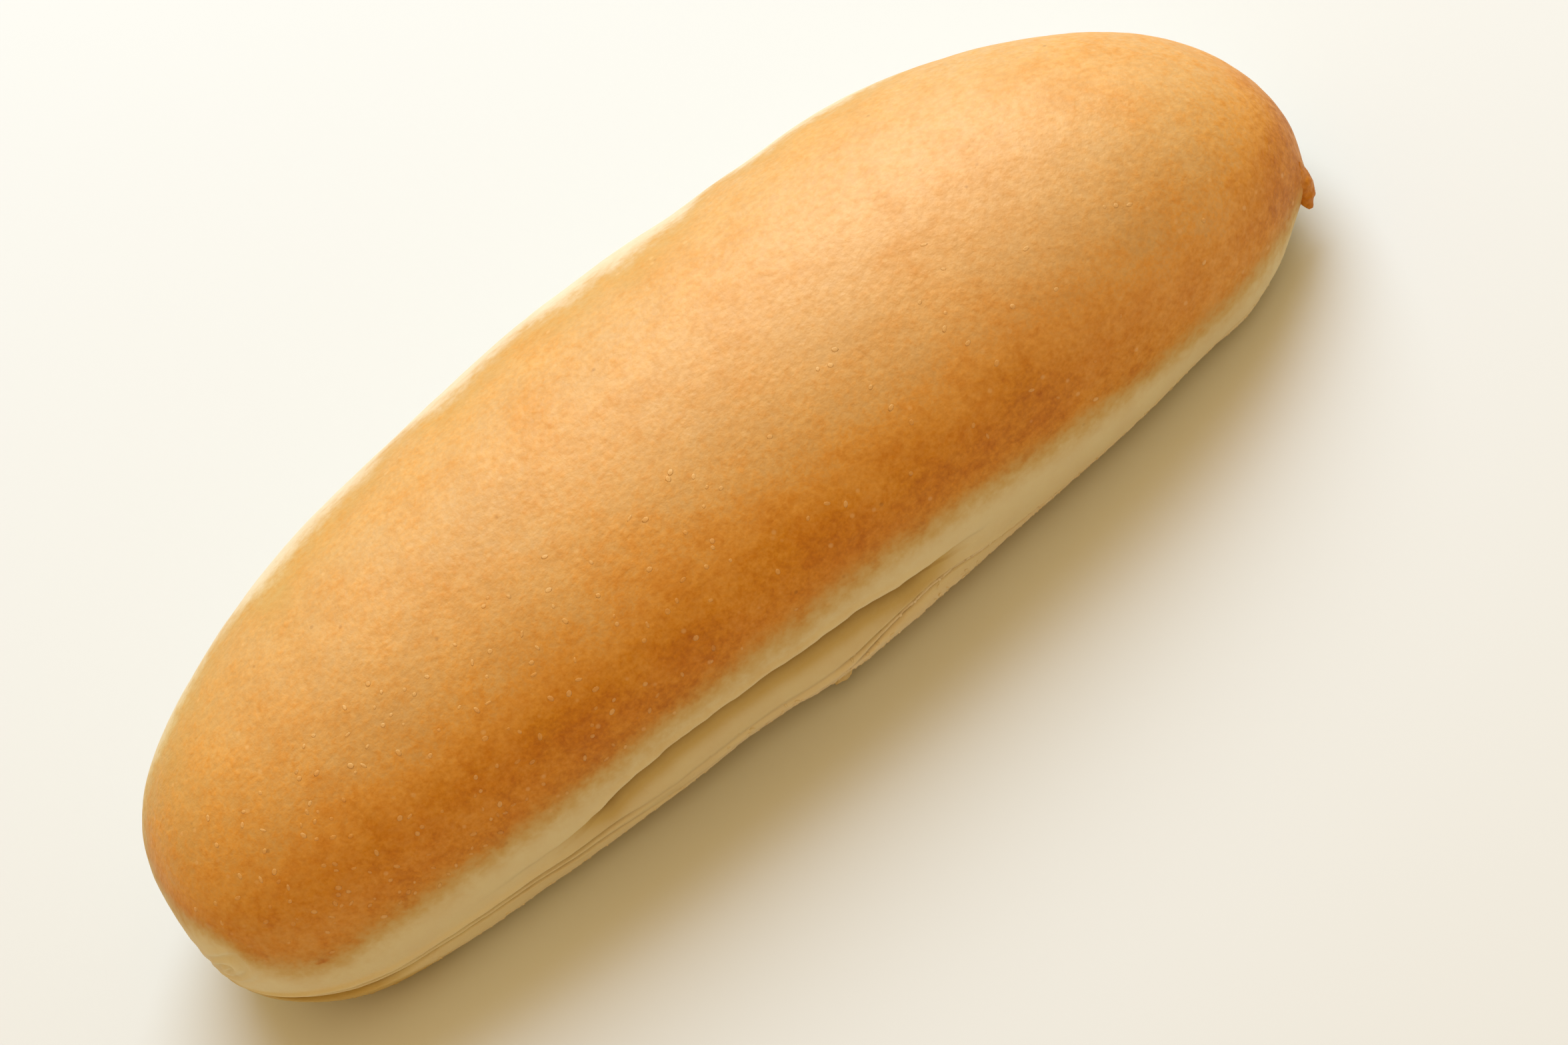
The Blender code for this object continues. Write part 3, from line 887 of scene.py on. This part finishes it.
def skinBumps(tree, skin, place):
    # fine grain over soft pebbles over short wrinkles
    values = {"Vector": place, "Scale": 1 / crustFinish["pebbleSize"], "Smoothness": 0.6}
    pebbles = addNode(tree, "ShaderNodeTexVoronoi", values, feature="SMOOTH_F1").outputs["Distance"]
    pebbles = mapped(tree, pebbles, 0.9, 0.0)
    pebbles = times(tree, pebbles, mapped(tree, skin["patches"], 0.3, 0.75, 0.25, 1.0))
    normal = None
    for height, name in ((skin["mottle"], "wrinkle"), (pebbles, "pebble"), (skin["grain"], "grain")):
        values = {"Height": height, "Distance": crustFinish[name + "Height"]}
        if normal:
            values["Normal"] = normal
        normal = addNode(tree, "ShaderNodeBump", values).outputs[0]
    return normal


def crustMaterial():
    material = bpy.data.materials.new("brownedCrust")
    material.use_nodes = True
    tree = material.node_tree
    shader = tree.nodes["Principled BSDF"]
    place = addNode(tree, "ShaderNodeTexCoord").outputs["Object"]
    skin = {}
    for name, (size, detail, rough) in skinNoises.items():
        values = {"Vector": place, "Scale": 1 / size, "Detail": detail, "Roughness": rough}
        skin[name] = addNode(tree, "ShaderNodeTexNoise", values).outputs[0]
    cover = mask(tree, "cover")
    rough = mapped(tree, cover, 0.1, 0.9, crustFinish["creamRough"], crustFinish["brownRough"])
    rough = plus(tree, rough, mapped(tree, skin["mottle"], 0.2, 0.8, -0.06, 0.08))
    tree.links.new(skinColour(tree, skin, place, cover), shader.inputs["Base Color"])
    tree.links.new(rough, shader.inputs["Roughness"])
    tree.links.new(skinBumps(tree, skin, place), shader.inputs["Normal"])
    shader.inputs["Specular IOR Level"].default_value = crustFinish["shine"]
    return material


# Torn bit of crust that hangs from the heel
tornBit = {
    "at": Vector((-1.9, -30.35, 2.15)) * mm,
    "size": Vector((1.9, 1.0, 0.9)) * mm,
    "turn": 18,
    "taper": 0.55,        # its end towards -X is thinner by this
    "ragged": 0.22,
    "grains": [(2.3, 1.0), (7, 0.5)],
    "masks": {"cover": 0.1, "browning": 0.5, "torn": 0.3},
}


def ragged(place, grains):
    # unevenness of a lump: noises of (rate, share)
    return sum(noise.noise(place * rate) * share for rate, share in grains)


def buildTail(middle):
    out = tail["out"].normalized()
    across = out.cross(tail["down"]).normalized()
    down = across.cross(out)
    t = np.linspace(0, 1, tail["stations"])
    at = np.linspace(0, 1, len(tail["rings"]))
    outs, downs, thick, broad = [np.interp(t, at, values) * mm for values in zip(*tail["rings"])]
    bm = bmesh.new()
    loops = []
    for k in range(tail["stations"]):
        low, high = max(0, k - 1), min(tail["stations"] - 1, k + 1)
        along = (out * (outs[high] - outs[low]) + down * (downs[high] - downs[low])).normalized()
        side = across.cross(along)
        centre = tail["at"] - middle + out * outs[k] + down * downs[k]
        loop = []
        for turn in np.linspace(0, 2 * math.pi, tail["segments"], endpoint=False):
            way = side * math.cos(turn) * thick[k] + across * math.sin(turn) * broad[k]
            place = centre + way
            uneven = 1 + tail["ragged"] * ragged(place, tail["grains"])
            loop.append(bm.verts.new(centre + way * uneven))
        loops.append(loop)
    for before, after in zip(loops, loops[1:]):
        for k in range(tail["segments"]):
            bm.faces.new((before[k], before[k - 1], after[k - 1], after[k]))
    for loop in (loops[0], loops[-1]):
        bm.faces.new(loop)
    return maskMesh(bm, "doughTail", tail["masks"])


def buildBit(middle):
    bm = bmesh.new()
    bmesh.ops.create_icosphere(bm, subdivisions=5, radius=1.0)
    turn = Matrix.Rotation(math.radians(tornBit["turn"]), 3, "Z")
    for vert in bm.verts:
        thin = 1 - tornBit["taper"] * max(0.0, -vert.co.x)
        uneven = 1 + tornBit["ragged"] * ragged(vert.co, tornBit["grains"])
        shape = Vector((vert.co.x, vert.co.y * thin, vert.co.z * thin)) * uneven
        vert.co = tornBit["at"] - middle + turn @ (shape * tornBit["size"])
    return maskMesh(bm, "tornBit", tornBit["masks"])


def addPiece(name, mesh):
    item = bpy.data.objects.new(name, mesh)
    bpy.context.scene.collection.objects.link(item)
    return item


def settle(piece, stands=False):
    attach(piece, "root")
    if stands:
        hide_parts("hoagie_roll")


# Small things on the skin; a mask says where. "Most" is how many on a square metre where it is 1.
blisters = {
    "Mask": "blistered",
    "Most": 90000.0,
    "Apart": 0.9 * mm,
    "Least Size": (0.2 * mm, 0.2 * mm, 0.025 * mm),
    "Most Size": (0.6 * mm, 0.42 * mm, 0.045 * mm),
    "Raised": 0.8,
    "Seed": 4,
}
crumbs = {
    "Mask": "torn",
    "Most": 950000.0,
    "Apart": 0.45 * mm,
    "Least Size": (0.14 * mm, 0.12 * mm, 0.05 * mm),
    "Most Size": (0.48 * mm, 0.3 * mm, 0.15 * mm),
    "Raised": 0.15,
    "Seed": 9,
}


def scatterTree():
    # flattened grains, half sunk in the given surface; they take over its masks
    tree, given = startTree("skinGrains", blisters)
    values = {
        "Mesh": given["Geometry"],
        "Density Max": given["Most"],
        "Distance Min": given["Apart"],
        "Density Factor": namedMask(tree, given["Mask"]),
        "Seed": given["Seed"],
    }
    spots = addNode(tree, "GeometryNodeDistributePointsOnFaces", values, distribute_method="POISSON")
    values = {"Min": given["Least Size"], "Max": given["Most Size"], "Seed": given["Seed"]}
    size = addNode(tree, "FunctionNodeRandomValue", values, data_type="FLOAT_VECTOR")
    values = {"Max": (0.0, 0.0, 2 * math.pi), "Seed": given["Seed"]}
    spin = addNode(tree, "FunctionNodeRandomValue", values, data_type="FLOAT_VECTOR")
    values = {"Rotation": spots.outputs["Rotation"], "Rotate By": spin.outputs["Value"]}
    turn = addNode(tree, "FunctionNodeRotateRotation", values, rotation_space="LOCAL")
    grain = addNode(tree, "GeometryNodeMeshUVSphere", {"Segments": 8, "Rings": 4, "Radius": 1.0})
    values = {
        "Points": spots.outputs["Points"],
        "Instance": grain.outputs["Mesh"],
        "Rotation": turn.outputs[0],
        "Scale": size.outputs["Value"],
    }
    placed = addNode(tree, "GeometryNodeInstanceOnPoints", values)
    pick = addNode(tree, "FunctionNodeRandomValue", {2: 0.3, 3: 1.0, "Seed": 3}, data_type="FLOAT")
    values = {
        "Geometry": placed.outputs["Instances"],
        "Name": "raised",
        "Value": times(tree, pick.outputs[1], given["Raised"]),
    }
    stored = addNode(tree, "GeometryNodeStoreNamedAttribute", values, data_type="FLOAT", domain="INSTANCE")
    endTree(tree, stored.outputs["Geometry"], given["Material"])
    return tree


def triangles(item):
    return sum(len(face.vertices) - 2 for face in item.data.polygons)


def scatter(name, tree, values):
    item = addPiece(name, roll.data.copy())
    finishMesh(item, tree, values)
    settle(item)
    print(name + ":", triangles(item), "triangles")


crustSkin = crustMaterial()
crustMesh, middle = buildCrustMesh()
roll = addPiece("crust", crustMesh)
skinRelief = reliefTree()
finishMesh(roll, skinRelief, {**relief, "Material": crustSkin})
settle(roll, stands=True)
print("crust:", len(roll.data.vertices), "points", triangles(roll), "triangles")
lumpRelief = {**relief, "Lump Height": 0.0, "Torn Height": 0.66 * mm, "Material": crustSkin}
for name, mesh in (("doughTail", buildTail(middle)), ("tornBit", buildBit(middle))):
    lump = addPiece(name, mesh)
    finishMesh(lump, skinRelief, lumpRelief)
    settle(lump)
    print(name + ":", triangles(lump), "triangles")
skinGrains = scatterTree()
scatter("blisters", skinGrains, {**blisters, "Material": crustSkin})
scatter("crumbs", skinGrains, {**crumbs, "Material": crustSkin})

# Light, floor and camera
studio = {
    "floorHalf": 3.0,
    "floorColour": (0.755, 0.815, 0.865),
    "highLight": (1.0, 0.70, 0.32),
    "highStrength": 0.85,
    "lowLight": (1.0, 0.46, 0.12),
    "lowStrength": 0.37,
    "lowTo": 0.1,           # the light changes between these heights, 1 being straight overhead
    "highFrom": 0.95,
    "backdropColour": (0.93, 0.93, 0.88),
    "keyFrom": Vector((0.44, 0.78, 1.1)),
    "keyDistance": 1.3,
    "keySize": 1.0,
    "keyPower": 18.4,
    "keyColour": (0.74, 0.88, 1.0),
}
sensorWidth = 36
view = {
    "target": Vector((0, -1.35, 22)) * mm,
    "elevation": 50.0,
    "azimuth": -1.511,
    "roll": 36.437,
    "distance": 550 * mm,
    "aside": (5.122 * mm, -12.858 * mm),
    "lens": 5555.5 / 2352 * sensorWidth,   # focal length and image width in pixels
}


def addCamera():
    up, turn, roll = (math.radians(view[key]) for key in ("elevation", "azimuth", "roll"))
    back = Vector((math.sin(turn) * math.cos(up), -math.cos(turn) * math.cos(up), math.sin(up)))
    right = Vector((math.cos(turn), math.sin(turn), 0))
    above = back.cross(right)
    place = view["target"] + right * view["aside"][0] + above * view["aside"][1] + back * view["distance"]
    rolledRight = math.cos(roll) * right - math.sin(roll) * above
    rolledUp = math.sin(roll) * right + math.cos(roll) * above
    camera = bpy.data.objects.new("camera", bpy.data.cameras.new("camera"))
    camera.data.lens = view["lens"]
    camera.data.sensor_width = sensorWidth
    camera.data.clip_start = 0.01
    turned = Matrix((rolledRight, rolledUp, back)).transposed().to_4x4()
    camera.matrix_world = Matrix.Translation(place) @ turned
    bpy.context.scene.collection.objects.link(camera)
    bpy.context.scene.camera = camera


def addFloor():
    material = bpy.data.materials.new("paleFloor")
    material.use_nodes = True
    shader = material.node_tree.nodes["Principled BSDF"]
    shader.inputs["Base Color"].default_value = (*studio["floorColour"], 1)
    shader.inputs["Roughness"].default_value = 0.8
    shader.inputs["Specular IOR Level"].default_value = 0.2
    mesh = bpy.data.meshes.new("floor")
    half = studio["floorHalf"]
    corners = [(x * half, y * half, 0) for x, y in ((-1, -1), (1, -1), (1, 1), (-1, 1))]
    mesh.from_pydata(corners, [], [(0, 1, 2, 3)])
    mesh.materials.append(material)
    floor = addPiece("floor", mesh)


def addLight():
    world = bpy.data.worlds.new("studio")
    world.use_nodes = True
    tree = world.node_tree

    def glow(colour, strength=1.0):
        node = addNode(tree, "ShaderNodeBackground", {"Color": (*colour, 1), "Strength": strength})
        return node.outputs[0]

    # warm and dim near the floor, whiter and brighter overhead
    low = glow(studio["lowLight"], studio["lowStrength"])
    high = glow(studio["highLight"], studio["highStrength"])
    way = addNode(tree, "ShaderNodeTexCoord").outputs["Generated"]
    up = addNode(tree, "ShaderNodeSeparateXYZ", {"Vector": way}).outputs["Z"]
    values = {"Value": up, "From Min": studio["lowTo"], "From Max": studio["highFrom"]}
    rise = addNode(tree, "ShaderNodeMapRange", values)
    warm = addNode(tree, "ShaderNodeMixShader", {0: rise.outputs["Result"], 1: low, 2: high})
    seen = addNode(tree, "ShaderNodeLightPath").outputs["Is Camera Ray"]
    plain = glow(studio["backdropColour"])
    both = addNode(tree, "ShaderNodeMixShader", {0: seen, 1: warm.outputs[0], 2: plain})
    tree.links.new(both.outputs[0], tree.nodes["World Output"].inputs["Surface"])
    bpy.context.scene.world = world
    key = bpy.data.objects.new("key", bpy.data.lights.new("key", "AREA"))
    key.data.size = studio["keySize"]
    key.data.energy = studio["keyPower"]
    key.data.color = studio["keyColour"]
    towards = studio["keyFrom"].normalized()
    key.location = towards * studio["keyDistance"]
    key.rotation_euler = towards.to_track_quat("Z", "Y").to_euler()
    bpy.context.scene.collection.objects.link(key)


addFloor()
addLight()
addCamera()
bpy.context.scene.view_settings.view_transform = "Standard"
print("stage: floor, key light, world and camera")
